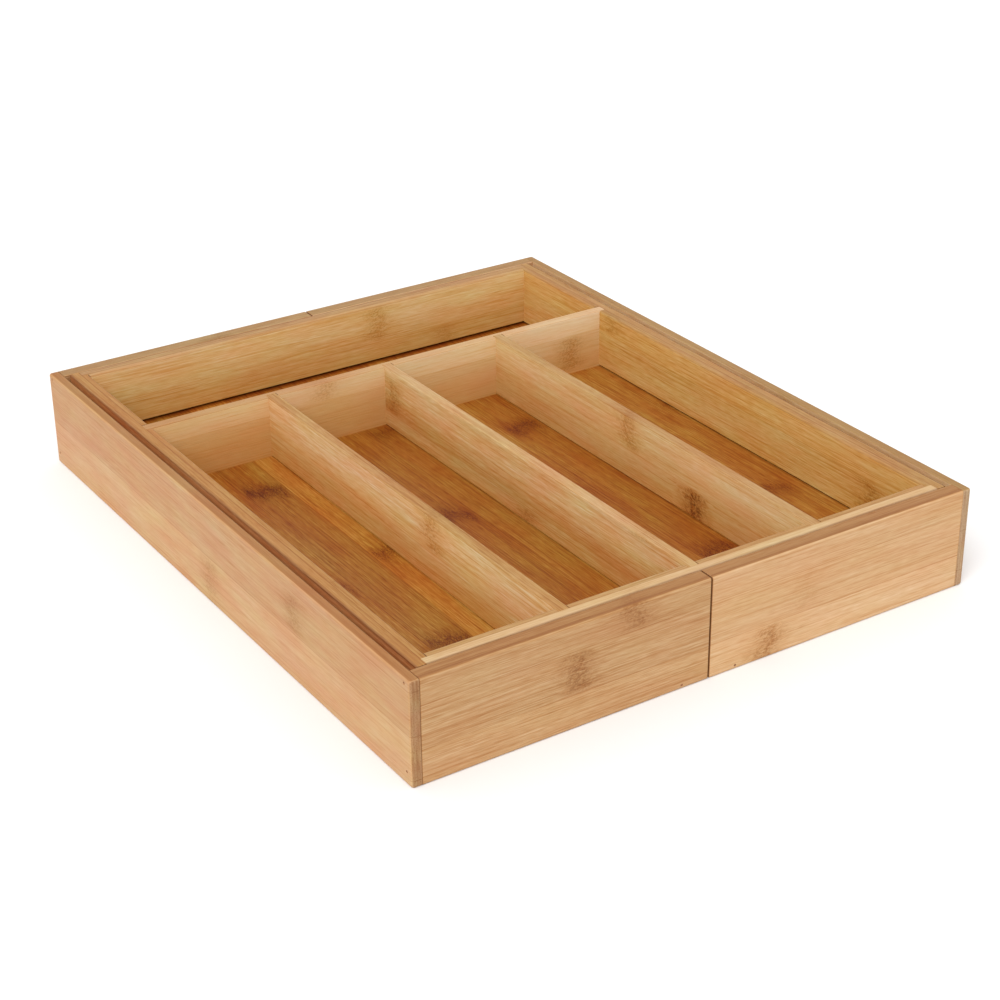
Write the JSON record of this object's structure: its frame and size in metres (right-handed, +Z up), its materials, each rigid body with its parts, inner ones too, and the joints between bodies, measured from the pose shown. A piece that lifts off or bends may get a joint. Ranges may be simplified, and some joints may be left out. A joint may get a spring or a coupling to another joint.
{
  "type": "cutlery tray",
  "caption": "Expandable bamboo cutlery tray: a centre tray with long compartments and one cross compartment, between two side wings that slide outwards on runners.",
  "frame": {"origin": "middle of the closed tray's footprint, at the surface that it stands on", "axes": "+X to the right, the way the right wing slides out; +Y to the back, towards the cross compartment; +Z up, out of the open top"},
  "size_m": [0.358, 0.431, 0.06],
  "materials": {
    "wing_boards": "satin oiled bamboo, light tan",
    "base_panels": "satin oiled bamboo panel",
    "tray_walls": "satin oiled bamboo, golden",
    "front_wall": "satin oiled bamboo, cream outer ply",
    "dividers": "satin oiled bamboo",
    "floor_panel": "satin oiled bamboo, orange brown",
    "runners": "sanded bamboo strip",
    "brads": "dull steel pin"
  },
  "bodies": {
    "centre_tray": {"centre_front_wall": "front_wall", "centre_back_wall": "tray_walls", "centre_left_wall": "tray_walls", "centre_right_wall": "tray_walls", "centre_floor_panel": "floor_panel", "cross_divider": "dividers", "left_divider": "dividers", "middle_divider": "dividers", "right_divider": "dividers", "front_left_runner": "runners", "front_right_runner": "runners", "back_left_runner": "runners", "back_right_runner": "runners"},
    "left_wing": {"left_wing_side_board": "wing_boards", "left_wing_front_board": "wing_boards", "left_wing_back_board": "wing_boards", "left_wing_base_panel": "base_panels", "left_wing_brads": "brads"},
    "right_wing": {"right_wing_side_board": "wing_boards", "right_wing_front_board": "wing_boards", "right_wing_back_board": "wing_boards", "right_wing_base_panel": "base_panels", "right_wing_brads": "brads"}
  },
  "joints": [
    {"name": "left_wing_slide", "type": "slide", "parent": "centre_tray", "child": "left_wing", "axis": [-1, 0, 0], "range_m": [0, 0.11]},
    {"name": "right_wing_slide", "type": "slide", "parent": "centre_tray", "child": "right_wing", "axis": [1, 0, 0], "range_m": [0, 0.11]}
  ]
}
